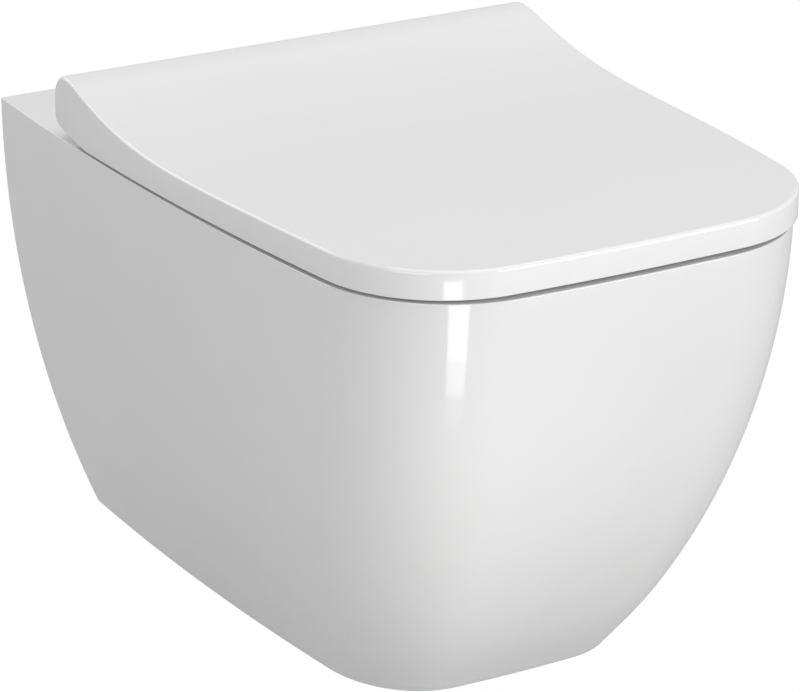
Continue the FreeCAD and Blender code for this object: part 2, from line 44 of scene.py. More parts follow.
deck = 80.0
wall_half = 176.0
body_length = 540.0
body_depth = 324.0
deck_thickness = 14.0
floor_thickness = 10.0
skirt_wall = 12.0
web_thickness = 18.0
web_depth = 115.0
side_sweep = 805.0
front_sweep = [(0.0, 540.0), (80.0, 529.4), (150.0, 510.2),
               (220.0, 480.6), (280.0, 444.4), (324.0, 408.8)]
front_slope = -0.045
deck_edge = 0.7
low_edge = 2.5
access_half = 62.0
access_near = 24.0
access_far = 118.0

rim_half = 121.0
rim_front = 490.0
rim_back = 205.0
rim_band = 26.0
bowl_wall = 10.0
bowl_profile = [(0.0, 24.0), (20.0, 36.0), (55.0, 51.0), (115.0, 75.0),
                (180.0, 98.0), (250.0, 114.0), (300.0, 133.0)]
bowl_slope = 0.6
bowl_lean = math.radians(14.5)
sump_from_wall = 284.0
sump_floor = -185.0
inlet_height = 35.0
inlet_radius = 27.5
inlet_depth = 60.0
channel_radius = 22.0
channel_wall = 9.0
trap_radius = 27.0
trap_wall = 9.0
trap_low = -206.0
trap_high = -100.0
trap_bend = 44.0
trap_floor = 18.0
spigot_radius = 51.0
spigot_bore = 41.0
spigot_front = 45.0
spigot_setback = 3.0
neck_length = 42.0
stud_x = 90.0
stud_hole = 12.0

hinge_x = 77.5
hinge_y = -122.0
hinge_z = 103.0
boss_radius = 18.0
boss_depth = 8.0
deck_hole = 7.25
block_half = 15.0
block_back = 13.0
lug_radius = 10.0
lug_gap = 0.75
lug_width = 20.0
hanger_height = 30.0
damper_radius = 7.5
bush_radius = 5.5

lid_back = 102.3
lid_straight = 31.8
space_straight = 31.0
lid_rounding = 15.0
lid_heel = 17.5
lid_heel_radius = 8.0
lid_heel_turn = math.radians(80.0)
lid_level_from_wall = 150.0
lid_foot_ease = 1.25
lid_gap = 3.0
lid_wall = 5.0
lid_roof = 4.0
space_edge = 1.5
space_below = 20.0
lid_edge = 2.6
lid_low_edge = 0.6
lid_wave = [(117.3, 46.8), (126.0, 46.0), (150.0, 39.4), (198.0, 28.9), (225.0, 25.6),
            (252.0, 23.8), (300.0, 22.9), (372.0, 23.1), (430.0, 23.1), (480.0, 22.7),
            (545.0, 21.7)]
space_wave = [(117.3, 46.0), (126.0, 45.3), (150.0, 38.6), (198.0, 28.2), (246.0, 22.6),
              (300.0, 20.8), (420.0, 21.6), (460.0, 22.3), (545.0, 22.4)]
ring_bottom = 85.0
ring_top = 94.5
ring_back = 150.0
ring_inset = 7.5
ring_edge = 3.4
ring_half = 108.0
ring_open_front = 474.0
ring_open_back = 222.0
arm_overlap = 2.0
arm_foot = 8.0
arm_step = 1.0

channel_into_bowl = 40.0

over = 1.0              # how far a cutting tool stands past the face that it opens
seam = 0.2              # how far two tools that meet reach into each other
same = 0.002            # vertices nearer than this are one
far = 400.0             # beyond everything

# ---------------------------------------------------------------- how finely curves are drawn

outline_steps = (30, 26, 8)     # side arc, corner arc and half of the front
skin_rows = 44
room_rows = 12
bowl_rows = 30
neck_rows = 12
bend_steps = 12
bowl_sides = 128
trap_sides = 72
mouth_sides = 96
rod_sides = 64
lid_edge_insets = [0.05, 0.15, 0.3, 0.45, 0.6, 0.8, 1.0, 1.2]
lid_back_rows = 12
lid_rows = [(120.0, 4.0, 12), (168.0, 7.0, 20), (308.0, 16.0, 13)]      # from, step, count


# ---------------------------------------------------------------- working by hand in edit mode

def begin(name, primitive, **settings):
    """A primitive alone in edit mode, with its place in its mesh."""
    bpy.ops.object.select_all(action="DESELECT")
    primitive(**settings)
    piece = bpy.context.object
    piece.name = name
    piece.data.name = name
    bpy.ops.object.transform_apply(location=True, rotation=True, scale=True)
    bpy.ops.object.mode_set(mode="EDIT")
    bpy.ops.mesh.select_mode(type="VERT")
    bpy.ops.mesh.select_all(action="SELECT")
    return piece


def done():
    """Closes open ends, points the faces outwards and leaves edit mode."""
    bpy.ops.mesh.select_all(action="SELECT")
    bpy.ops.mesh.remove_doubles(threshold=same * mm)
    bpy.ops.mesh.fill_holes(sides=0)
    bpy.ops.mesh.select_all(action="SELECT")
    bpy.ops.mesh.normals_make_consistent(inside=False)
    bpy.ops.object.mode_set(mode="OBJECT")
    return bpy.context.object


def choose(kind, test):
    """Selects the vertices, edges or faces that pass a test."""
    bpy.ops.mesh.select_mode(type=kind)
    bpy.ops.mesh.select_all(action="DESELECT")
    data = bpy.context.object.data
    mesh = bmesh.from_edit_mesh(data)
    for item in {"VERT": mesh.verts, "EDGE": mesh.edges, "FACE": mesh.faces}[kind]:
        if test(item):
            item.select_set(True)
    bmesh.update_edit_mesh(data)


def at_height(z):
    """A test for edges and faces that lie level at a height."""
    return lambda item: all(abs(vertex.co.z - z * mm) < 5 * same * mm for vertex in item.verts)


def push(x=0.0, y=0.0, z=0.0):
    """Extrudes what is selected."""
    bpy.ops.mesh.extrude_region_move(TRANSFORM_OT_translate={"value": (x * mm, y * mm, z * mm)})


def widen(x, y, z, centre):
    """Scales what is selected about a centre."""
    bpy.ops.transform.resize(value=(x, y, z), center_override=Vector(centre) * mm)


def lone_vertex(name, x, y, z):
    """A piece that starts as one vertex, to be spun or extruded."""
    piece = begin(name, bpy.ops.mesh.primitive_plane_add, size=mm, location=Vector((x, y, z)) * mm)
    bpy.ops.mesh.merge(type="CENTER")
    return piece


def turn(steps, degrees, centre, axis):
    """Spins what is selected about a centre, against the clock seen from the axis's tip."""
    bpy.ops.mesh.spin(steps=steps, angle=math.radians(-degrees),
                      center=Vector(centre) * mm, axis=axis)


def carve(piece, tool, operation="DIFFERENCE"):
    """Cuts a tool out of a piece, or joins it on, and uses it up."""
    modifier = piece.modifiers.new(tool.name, "BOOLEAN")
    modifier.operation = operation
    modifier.solver = "MANIFOLD"
    modifier.object = tool
    bpy.context.view_layer.objects.active = piece
    bpy.ops.object.modifier_apply(modifier=modifier.name)
    bpy.data.objects.remove(tool)


def block(name, x0, x1, y0, y1, z0, z1):
    """A square-cut block between two corners."""
    middle = Vector((x0 + x1, y0 + y1, z0 + z1)) * mm / 2
    begin(name, bpy.ops.mesh.primitive_cube_add, size=1.0, location=middle,
          scale=Vector((x1 - x0, y1 - y0, z1 - z0)) * mm)
    return done()


def rod(name, radius, start, end, sides=rod_sides):
    """A round bar between two places on a line along X, Y or Z."""
    along = (Vector(end) - Vector(start)) * mm
    middle = (Vector(end) + Vector(start)) * mm / 2
    begin(name, bpy.ops.mesh.primitive_cylinder_add, vertices=sides, radius=radius * mm,
          depth=along.length, location=middle, rotation=along.to_track_quat("Z", "Y").to_euler())
    return done()


def side_prism(name, corners, x0, x1):
    """A straight-edged side outline, drawn corner by corner and pulled out along X."""
    lone_vertex(name, x0, *corners[0])
    for (y0, z0), (y1, z1) in zip(corners, corners[1:]):
        push(y=y1 - y0, z=z1 - z0)
    bpy.ops.mesh.select_all(action="SELECT")
    bpy.ops.mesh.edge_face_add()
    push(x=x1 - x0)
    return done()


# ---------------------------------------------------------------- plan outlines

class Outline:
    """Side arcs, corner arcs and a bowed front, symmetric about X = 0."""

    def __init__(self, wall_half, widest_half, widest_at, length, corner, front):
        bulge = widest_half - wall_half
        self.side = (widest_at ** 2 + bulge ** 2) / (2 * bulge)
        self.side_centre = Vector((widest_half - self.side, -widest_at))
        self.front = front
        self.front_centre = Vector((0.0, front - length))
        self.corner = corner
        between = self.front_centre - self.side_centre
        gap = between.length
        near = self.side - corner
        reach = (near ** 2 - (front - corner) ** 2 + gap ** 2) / (2 * gap)
        unit = between / gap
        across = math.sqrt(near ** 2 - reach ** 2)
        foot = self.side_centre + unit * reach
        sideways = Vector((-unit.y, unit.x)) * across
        self.corner_centre = min((foot + sideways, foot - sideways),
                                 key=lambda point: point.y - point.x)
        self.side_end = math.degrees(math.atan2(*(self.corner_centre - self.side_centre).yx))
        self.front_start = math.degrees(math.atan2(*(self.corner_centre - self.front_centre).yx))

    def draw(self, name, inset, start_y, z):
        """The closed outline as edges, from its back line at start_y."""
        radius = self.side - inset
        rise = start_y - self.side_centre.y
        x = self.side_centre.x + math.sqrt(radius ** 2 - rise ** 2)
        lone_vertex(name, x, start_y, z)
        start = math.degrees(math.atan2(rise, x - self.side_centre.x))
        arcs = ((self.side_centre, start - self.side_end),
                (self.corner_centre, self.side_end - self.front_start),
                (self.front_centre, self.front_start + 90.0))
        for count, (centre, angle) in zip(outline_steps, arcs):
            turn(count, -angle, (centre.x, centre.y, z), (0, 0, 1))
        bpy.ops.mesh.select_all(action="SELECT")
        bpy.ops.mesh.duplicate()
        widen(-1, 1, 1, (0, 0, 0))
        bpy.ops.mesh.select_all(action="SELECT")
        bpy.ops.mesh.remove_doubles(threshold=same * mm)
        choose("VERT", lambda vertex: abs(vertex.co.y - start_y * mm) < same * mm / 2)
        bpy.ops.mesh.edge_face_add()
        bpy.ops.mesh.select_mode(type="EDGE")
        bpy.ops.mesh.select_all(action="SELECT")

    def depth(self, x, y):
        """How far inside the sides and the front a place lies."""
        place = Vector((abs(x), y))
        away = place - self.corner_centre
        angle = math.degrees(math.atan2(away.y, away.x))
        if self.front_start < angle < self.side_end:
            return self.corner - away.length
        return min(self.side - (place - self.side_centre).length,
                   self.front - (place - self.front_centre).length)


pan_outline = Outline(wall_half, widest_half=183.0, widest_at=195.0, length=body_length,
                      corner=99.0, front=1760.0)
lid_outline = Outline(177.0, widest_half=184.5, widest_at=194.0, length=539.0,
                      corner=89.0, front=1780.0)


def smooth_through(points, x, first_slope=0.0):
    """A smooth curve through points of rising x."""
    slopes = [first_slope]
    for (xa, ya), (xb, yb), (xc, yc) in zip(points, points[1:], points[2:]):
        before, after = (yb - ya) / (xb - xa), (yc - yb) / (xc - xb)
        slopes.append((before * (xc - xb) + after * (xb - xa)) / (xc - xa))
    slopes.append((points[-1][1] - points[-2][1]) / (points[-1][0] - points[-2][0]))
    for i in range(len(points) - 1):
        (x0, y0), (x1, y1) = points[i], points[i + 1]
        if x <= x1 or i == len(points) - 2:
            span = x1 - x0
            t = (x - x0) / span
            return ((2 * t ** 3 - 3 * t ** 2 + 1) * y0
                    + (t ** 3 - 2 * t ** 2 + t) * span * slopes[i]
                    + (3 * t ** 2 - 2 * t ** 3) * y1
                    + (t ** 3 - t ** 2) * span * slopes[i + 1])


# ---------------------------------------------------------------- ceramic pan

def sweep_scale(depth):
    """Scale of the outline across and along at a depth below the deck."""
    half = wall_half - side_sweep + math.sqrt(side_sweep ** 2 - depth ** 2)
    return half / wall_half, smooth_through(front_sweep, depth, front_slope) / body_length


def swept_body(name, inset, top, bottom, steps, start_y):
    """The outline drawn down from the deck through the two sweeps."""
    pan_outline.draw(name, inset, start_y, deck - top)
    wide, long = sweep_scale(top)
    widen(wide, long, 1, (0, 0, 0))
    for i in range(steps):
        old = top + (bottom - top) * i / steps
        new = top + (bottom - top) * (i + 1) / steps
        push(z=old - new)
        before, after = sweep_scale(old), sweep_scale(new)
        widen(after[0] / before[0], after[1] / before[1], 1, (0, 0, deck - new))
    return done()


def soft_edges(radius, segments, test):
    """Rounds the edges that pass a test."""
    choose("EDGE", test)
    bpy.ops.mesh.bevel(offset=radius * mm, segments=segments, affect="EDGES", clamp_overlap=True)


def oval_bar(name, grow, front, back, half, low, high):
    """An upright oval bar between two heights."""
    centre = (0, -(front + back) / 2 * mm, low * mm)
    begin(name, bpy.ops.mesh.primitive_circle_add, vertices=bowl_sides,
          radius=(half + grow) * mm, fill_type="NGON", location=centre)
    widen(1, ((front - back) / 2 + grow) / (half + grow), 1, (0, -(front + back) / 2, low))
    push(z=high - low)
    return done()


def bowl_tool(grow):
    """The bowl turned about its leaning axis, cut level at the flush ledge."""
    axis = Vector((0, -math.sin(bowl_lean), math.cos(bowl_lean)))
    foot = Vector((0, -sump_from_wall, sump_floor))
    radius = bowl_profile[0][1] + grow
    begin("bowl", bpy.ops.mesh.primitive_circle_add, vertices=bowl_sides, radius=radius * mm,
          fill_type="NGON", location=(foot - axis * grow) * mm, rotation=(bowl_lean, 0, 0))
    push(*(axis * grow))
    height = 0.0
    for i in range(bowl_rows):
        rise = bowl_profile[-1][0] * (i + 1) / bowl_rows
        wider = smooth_through(bowl_profile, rise, bowl_slope) + grow
        push(*(axis * (rise - height)))
        ratio = wider / radius
        widen(ratio, ratio, ratio, foot + axis * rise)
        radius, height = wider, rise
    bpy.ops.mesh.select_all(action="SELECT")
    bpy.ops.mesh.bisect(plane_co=(0, 0, (deck - rim_band) * mm), plane_no=(0, 0, 1),
                        clear_outer=True)
    return done()


def trap_tool(radius):
    """A ring drawn down the sump and spun round three bends to the outlet neck."""
    straight = trap_bend / 2
    start = Vector((0, -sump_from_wall, trap_low + trap_bend + straight))
    begin("trap", bpy.ops.mesh.primitive_circle_add, vertices=trap_sides, radius=radius * mm,
          fill_type="NOTHING", location=start * mm)
    push(z=-straight)
    across = (1, 0, 0)
    low_y = -sump_from_wall + trap_bend
    turn(bend_steps, 90.0, (0, low_y, trap_low + trap_bend), across)
    push(y=trap_floor)
    turn(bend_steps, 90.0, (0, low_y + trap_floor, trap_low + trap_bend), across)
    rise_y = low_y + trap_floor + trap_bend
    push(z=trap_high - trap_low - 2 * trap_bend)
    turn(bend_steps, -90.0, (0, rise_y + trap_bend, trap_high - trap_bend), across)
    push(y=-(spigot_front + neck_length) - rise_y - trap_bend)
    return done()


def neck_tool(narrow, broad):
    """The outlet's neck, eased from the trapway's width to the spigot's."""
    begin("neck", bpy.ops.mesh.primitive_circle_add, vertices=trap_sides, radius=narrow * mm,
          fill_type="NGON", location=Vector((0, -(spigot_front + neck_length), trap_high)) * mm,
          rotation=(math.radians(90), 0, 0))
    for i in range(neck_rows):
        ease = [(1 - math.cos(math.pi * row / neck_rows)) / 2 for row in (i, i + 1)]
        before, after = [narrow + (broad - narrow) * share for share in ease]
        push(y=neck_length / neck_rows)
        place = -(spigot_front + neck_length) + neck_length * (i + 1) / neck_rows
        widen(after / before, 1, after / before, (0, place, trap_high))
    return done()


def ceramic_pan():
    """The casting: skin, hollow, bowl, trapway, inlet, spigot and fixing holes."""
    pan = swept_body("ceramic_pan_casting", inset=0.0, top=0.0, bottom=body_depth,
                     steps=skin_rows, start_y=0.0)
    bpy.ops.object.mode_set(mode="EDIT")
    not_wall = lambda edge: any(vertex.co.y < -mm for vertex in edge.verts)
    underside = deck - body_depth
    soft_edges(deck_edge, segments=5,
               test=lambda edge: at_height(deck)(edge) and not_wall(edge))
    soft_edges(low_edge, segments=6,
               test=lambda edge: at_height(underside)(edge) and not_wall(edge))
    done()
    room = swept_body("room", inset=skirt_wall, top=deck_thickness,
                      bottom=body_depth - floor_thickness, steps=room_rows, start_y=over)
    carve(room, block("web", -far, far, -web_thickness, far, deck - web_depth, far))
    carve(room, bowl_tool(bowl_wall))
    ledge = deck - rim_band
    carve(room, oval_bar("rim", bowl_wall, rim_front, rim_back, rim_half,
                         ledge - bowl_wall, deck + over))
    carve(room, trap_tool(trap_radius + trap_wall))
    carve(room, neck_tool(trap_radius + trap_wall, spigot_radius))
    carve(room, rod("spigot", spigot_radius, (0, -spigot_front - seam, trap_high),
                    (0, -spigot_setback, trap_high), mouth_sides))
    mouth = (0, over, inlet_height)
    carve(room, rod("inlet_boss", inlet_radius + channel_wall,
                    (0, -inlet_depth - channel_wall, inlet_height), mouth))
    carve(room, rod("channel", channel_radius + channel_wall,
                    (0, -rim_back - bowl_wall, inlet_height), mouth))
    top = deck - deck_thickness
    for side in (-1, 1):
        carve(room, rod("boss", boss_radius, (side * hinge_x, hinge_y, top - boss_depth),
                        (side * hinge_x, hinge_y, top + over)))
    carve(pan, room)
    carve(pan, bowl_tool(0.0))
    carve(pan, oval_bar("rim", 0.0, rim_front, rim_back, rim_half, ledge, deck + over))
    carve(pan, trap_tool(trap_radius))
    carve(pan, neck_tool(trap_radius, spigot_bore))
    carve(pan, rod("spigot", spigot_bore, (0, -spigot_front - seam, trap_high),
                   (0, over, trap_high), mouth_sides))
    carve(pan, rod("inlet", inlet_radius, (0, -inlet_depth, inlet_height), mouth, mouth_sides))
    carve(pan, rod("channel", channel_radius,
                   (0, -rim_back - channel_into_bowl, inlet_height), (0, -over, inlet_height)))
    carve(pan, block("access", -access_half, access_half, -access_far, -access_near,
                     underside - over, underside + floor_thickness + over))
    for side in (-1, 1):
        carve(pan, rod("stud", stud_hole, (side * stud_x, -web_thickness - over, 0),
                       (side * stud_x, over, 0)))
        carve(pan, rod("fixing", deck_hole, (side * hinge_x, hinge_y, top - boss_depth - over),
                       (side * hinge_x, hinge_y, deck + over)))
    return pan


# ---------------------------------------------------------------- lid

def lid_top(y, drop):
    """Height above the deck of the lid's upper face, or of its inside."""
    radius = lid_rounding - drop
    back = -y - lid_back - drop
    straight, wave = (space_straight, space_wave) if drop else (lid_straight, lid_wave)
    if back < radius:
        return straight + math.sqrt(max(0.0, radius ** 2 - (radius - back) ** 2))
    return smooth_through(wave, -y) - drop


def lid_foot(y):
    """Height of the lid's lower edge above the deck: heel, rise and level run."""
    back = -y - lid_back
    tuck = lid_heel_radius - lid_heel_radius * math.cos(lid_heel_turn)
    if back < tuck:
        return lid_heel - math.sqrt(max(0.0, lid_heel_radius ** 2 - (lid_heel_radius - back) ** 2))
    low = lid_heel - lid_heel_radius * math.sin(lid_heel_turn)
    share = min(1.0, (back - tuck) / (lid_level_from_wall - lid_back - tuck))
    return lid_gap + (low - lid_gap) * (1 - share) ** lid_foot_ease


def edge_drop(radius, depth):
    """How far a rounded edge has fallen at a depth inside the outline."""
    if depth >= radius:
        return 0.0
    return radius - math.sqrt(radius ** 2 - (radius - max(depth, 0.0)) ** 2)


def lid_form(name, inset, roof, rounding, foot):
    """The outline pulled up, ringed by fine insets, cut in rows and lifted to its heights."""
    start_y = -lid_back - roof
    base = 0.0
    height = 10.0
    lid_outline.draw(name, inset, start_y, base)
    bpy.ops.mesh.edge_face_add()
    push(z=height)
    for level in (height, base):
        choose("FACE", at_height(level))
        for width in lid_edge_insets:
            bpy.ops.mesh.inset(thickness=width * mm, depth=0.0, use_even_offset=True)
    turned = [math.radians(90.0 / lid_back_rows * (i + 1)) for i in range(lid_back_rows)]
    rows = [lid_back + roof + (lid_rounding - roof) * (1 - math.cos(angle)) for angle in turned]
    rows += [first + step * i for first, step, count in lid_rows for i in range(count)]
    for row in rows:
        bpy.ops.mesh.select_all(action="SELECT")
        bpy.ops.mesh.bisect(plane_co=(0, -row * mm, 0), plane_no=(0, 1, 0))
    bpy.ops.object.mode_set(mode="OBJECT")
    piece = bpy.context.object
    lift = piece.vertex_groups.new(name="lift")
    reach = 200.0
    for vertex in piece.data.vertices:
        x, y, z = vertex.co / mm
        depth = lid_outline.depth(x, y) - inset
        if z > height / 2:
            target = deck + lid_top(y, roof) - edge_drop(rounding, depth)
        elif foot:
            target = deck + lid_foot(y) + edge_drop(lid_low_edge, depth)
        else:
            target = deck - space_below
        lift.add([vertex.index], (target - z) / reach, "REPLACE")
    modifier = piece.modifiers.new("lift", "DISPLACE")
    modifier.direction = "Z"
    modifier.mid_level = 0.0
    modifier.strength = reach * mm
    modifier.vertex_group = "lift"
    bpy.ops.object.modifier_apply(modifier="lift")
    piece.vertex_groups.clear()
    return piece


def lid_moulding():
    """The lid hollowed out, with its two hinge hangers, notches and bores."""
    lid = lid_form("lid_moulding", 0.0, 0.0, lid_edge, True)
    outer = lid.copy()
    outer.data = lid.data.copy()
    bpy.context.collection.objects.link(outer)
    carve(lid, lid_form("space", lid_wall, lid_roof, space_edge, False))
    inner_x = hinge_x + block_half + lug_gap
    for side in (-1, 1):
        ends = [side * inner_x, side * (inner_x + lug_width)]
        hanger = block("hanger", min(ends), max(ends), hinge_y - lug_radius, hinge_y + lug_radius,
                       hinge_z, hinge_z + hanger_height)
        carve(hanger, rod("barrel", lug_radius, (ends[0], hinge_y, hinge_z),
                          (ends[1], hinge_y, hinge_z)), "UNION")
        trim = outer.copy()
        trim.data = outer.data.copy()
        bpy.context.collection.objects.link(trim)
        carve(hanger, trim, "INTERSECT")
        carve(lid, hanger, "UNION")
    bpy.data.objects.remove(outer)
    near = hinge_x - block_half - lug_gap - lug_width - over
    edge = hinge_x + block_half + lug_gap / 2
    for side in (-1, 1):
        carve(lid, block("notch", min(side * near, side * edge), max(side * near, side * edge),
                         hinge_y + block_back, over, 0.0, far))
        radius = bush_radius if side > 0 else damper_radius
        carve(lid, rod("bore", radius, (side * (inner_x - over), hinge_y, hinge_z),
                       (side * (inner_x + lug_width + over), hinge_y, hinge_z)))
    return lid


# ---------------------------------------------------------------- seat ring

def seat_ring():
    """The ring with its opening, rounded upper edges, hinge arms and bores."""
    lid_outline.draw("seat_ring_moulding", ring_inset, -ring_back, ring_bottom)
    bpy.ops.mesh.edge_face_add()
    push(z=ring_top - ring_bottom)
    ring = done()
    carve(ring, oval_bar("opening", 0.0, ring_open_front, ring_open_back, ring_half,
                         ring_bottom - over, ring_top + over))
    bpy.context.view_layer.objects.active = ring
    bpy.ops.object.mode_set(mode="EDIT")
    sharp = math.radians(60.0)
    soft_edges(ring_edge, segments=6,
               test=lambda edge: at_height(ring_top)(edge) and edge.calc_face_angle(0.0) > sharp)
    done()
    inner = hinge_x - block_half - lug_gap
    for side in (-1, 1):
        ends = [side * inner, side * (inner - lug_width)]
        arm = side_prism("arm", [(hinge_y, hinge_z + lug_radius),
                                 (-ring_back - arm_overlap, ring_top),
                                 (-ring_back - arm_overlap, ring_bottom + arm_step),
                                 (-ring_back + arm_foot, ring_bottom + arm_step),
                                 (hinge_y, hinge_z - lug_radius)], min(ends), max(ends))
        carve(ring, arm, "UNION")
        carve(ring, rod("barrel", lug_radius, (ends[0], hinge_y, hinge_z),
                        (ends[1], hinge_y, hinge_z)), "UNION")
        radius = damper_radius if side > 0 else bush_radius
        carve(ring, rod("bore", radius, (side * (inner + over), hinge_y, hinge_z),
                        (side * (inner - lug_width - over), hinge_y, hinge_z)))
    return ring


# ---------------------------------------------------------------- finishes

class Wire:
    """A node socket that takes part in arithmetic."""

    def __init__(self, finish, socket):
        self.finish = finish
        self.socket = socket

    def _with(self, operation, first, second):
        return self.finish.node("ShaderNodeMath", {"operation": operation}, [first, second])

    def __add__(self, other):
        return self._with("ADD", self, other)

    def __sub__(self, other):
        return self._with("SUBTRACT", self, other)

    def __mul__(self, other):
        return self._with("MULTIPLY", self, other)

    __radd__ = __add__
    __rmul__ = __mul__


class Finish:
    """A node material with one principled shader, built up from wires."""

    def __init__(self, name, **constants):
        self.material = bpy.data.materials.new(name)
        self.material.use_nodes = True
        self.tree = self.material.node_tree
        self.shader = self.tree.nodes["Principled BSDF"]
        for socket, value in constants.items():
            self.shader.inputs[socket.replace("_", " ")].default_value = value
        self.object = self.node("ShaderNodeTexCoord", {}, {}, output="Object")

    def node(self, kind, settings, inputs, output=0):
        made = self.tree.nodes.new(kind)
        for name, value in settings.items():
            setattr(made, name, value)
        pairs = inputs.items() if isinstance(inputs, dict) else enumerate(inputs)
        for key, value in pairs:
            if isinstance(value, Wire):
                self.tree.links.new(value.socket, made.inputs[key])
            else:
                made.inputs[key].default_value = value
        return Wire(self, made.outputs[output])

    def stretched(self, x, y, z):
        return self.node("ShaderNodeMapping", {}, {"Vector": self.object, "Scale": (x, y, z)})

    def noise(self, scale, detail=2.0, roughness=0.5, vector=None):
        return self.node("ShaderNodeTexNoise", {},
                         {"Vector": vector or self.object, "Scale": scale,
                          "Detail": detail, "Roughness": roughness})

    def blend(self, factor, low, high):
        """A colour between two; the node's inputs 6 and 7 are its colours, output 2 their mix."""
        return self.node("ShaderNodeMix", {"data_type": "RGBA"}, {0: factor, 6: low, 7: high},
                         output=2)

    def clamp(self, wire):
        return self.node("ShaderNodeClamp", {}, {"Value": wire})

    def feed(self, **wires):
        for socket, wire in wires.items():
            self.tree.links.new(wire.socket, self.shader.inputs[socket.replace("_", " ")])

    def bump(self, height, distance, strength=1.0):
        self.feed(Normal=self.node("ShaderNodeBump", {},
                                   {"Strength": strength, "Distance": distance, "Height": height},
                                   output="Normal"))


def glazed_ceramic():
    """White glaze: a clear gloss over a body that shows through a little at random."""
    finish = Finish("white_glaze", IOR=1.52, Coat_Roughness=0.02, Coat_IOR=1.5)
    cloud = finish.noise(9.0, detail=3.0)
    speck = finish.noise(900.0, detail=1.0)
    tone = finish.blend(finish.clamp(cloud * 1.6 - 0.3),
                        (0.80, 0.80, 0.795, 1), (0.83, 0.83, 0.83, 1))
    finish.feed(Base_Color=finish.blend(finish.clamp(speck * 8.0 - 6.0) * 0.3,
                                        tone, (0.74, 0.735, 0.72, 1)),
                Roughness=0.07 + 0.05 * finish.noise(30.0, detail=2.0),
                Coat_Weight=0.5 + 0.2 * cloud)
    finish.bump(finish.noise(14.0, detail=1.0) + 0.02 * finish.noise(700.0, detail=2.0),
                distance=0.0002, strength=0.35)
    return finish.material


def moulded_duroplast():
    """White thermoset: a hard polish with the faint orange peel of its mould."""
    finish = Finish("white_duroplast_gloss", IOR=1.5, Coat_Roughness=0.03)
    cloud = finish.noise(6.0, detail=2.0)
    finish.feed(Base_Color=finish.blend(cloud, (0.83, 0.83, 0.83, 1), (0.86, 0.86, 0.86, 1)),
                Roughness=0.08 + 0.06 * finish.noise(45.0, detail=3.0),
                Coat_Weight=0.35 + 0.2 * cloud)
    finish.bump(finish.noise(260.0, detail=2.0) + 3.0 * finish.noise(10.0, detail=1.0),
                distance=0.00008, strength=0.4)
    return finish.material


def black_rubber():
    """Seal rubber with a dull bloom."""
    finish = Finish("black_rubber", IOR=1.5, Specular_IOR_Level=0.35)
    bloom = finish.noise(60.0, detail=4.0, roughness=0.65)
    finish.feed(Base_Color=finish.blend(bloom, (0.022, 0.022, 0.023, 1), (0.05, 0.05, 0.052, 1)),
                Roughness=0.55 + 0.25 * bloom)
    finish.bump(finish.noise(1400.0, detail=2.0), distance=0.0001, strength=0.5)
    return finish.material


def clear_rubber():
    """Milky rubber of the buffers."""
    finish = Finish("milky_rubber", IOR=1.45, Subsurface_Weight=0.2,
                    Subsurface_Radius=(0.004, 0.004, 0.004))
    cloud = finish.noise(80.0, detail=3.0)
    finish.feed(Base_Color=finish.blend(cloud, (0.62, 0.63, 0.62, 1), (0.74, 0.75, 0.74, 1)),
                Roughness=0.35 + 0.2 * cloud)
    finish.bump(finish.noise(900.0, detail=2.0), distance=0.00008, strength=0.4)
    return finish.material


def white_nylon():
    """Slightly waxy nylon of the sleeves and bushes."""
    finish = Finish("white_nylon", IOR=1.53, Subsurface_Weight=0.08)
    cloud = finish.noise(50.0, detail=3.0)
    finish.feed(Base_Color=finish.blend(cloud, (0.70, 0.69, 0.65, 1), (0.77, 0.76, 0.72, 1)),
                Roughness=0.38 + 0.15 * cloud)
    finish.bump(finish.noise(1100.0, detail=3.0), distance=0.0001, strength=0.4)
    return finish.material


def grey_plastic():
    """Matt acetal of the dampers and buttons."""
    finish = Finish("grey_acetal", IOR=1.48)
    cloud = finish.noise(70.0, detail=3.0)
    finish.feed(Base_Color=finish.blend(cloud, (0.30, 0.31, 0.32, 1), (0.37, 0.38, 0.39, 1)),
                Roughness=0.4 + 0.2 * cloud)
    finish.bump(finish.noise(1500.0, detail=2.0), distance=0.0001, strength=0.5)
    return finish.material


def steel(name, low, high, roughness, scratch, along):
    """Metal with fine lines drawn along one direction."""
    finish = Finish(name, Metallic=1.0)
    lines = finish.noise(40.0, detail=4.0, roughness=0.7, vector=finish.stretched(*along))
    patch = finish.noise(35.0, detail=2.0)
    finish.feed(Base_Color=finish.blend(lines, low, high),
                Roughness=roughness + scratch * lines + 0.5 * scratch * patch)
    finish.bump(lines, distance=0.00005, strength=0.25)
    return finish.material


# ---------------------------------------------------------------- putting it together

ceramic = glazed_ceramic()
duroplast = moulded_duroplast()
rubber = black_rubber()
pad_rubber = clear_rubber()
nylon = white_nylon()
acetal = grey_plastic()
stainless = steel("stainless_turned", (0.52, 0.52, 0.51, 1), (0.64, 0.64, 0.63, 1),
                  roughness=0.24, scratch=0.2, along=(1, 1, 30))
chrome = steel("polished_chrome", (0.70, 0.70, 0.71, 1), (0.80, 0.80, 0.81, 1),
               roughness=0.06, scratch=0.08, along=(20, 1, 1))
zinc = steel("zinc_plate", (0.48, 0.49, 0.51, 1), (0.60, 0.61, 0.62, 1),
             roughness=0.32, scratch=0.2, along=(1, 25, 1))
brass = steel("machined_brass", (0.60, 0.43, 0.17, 1), (0.70, 0.53, 0.24, 1),
              roughness=0.28, scratch=0.2, along=(1, 1, 25))

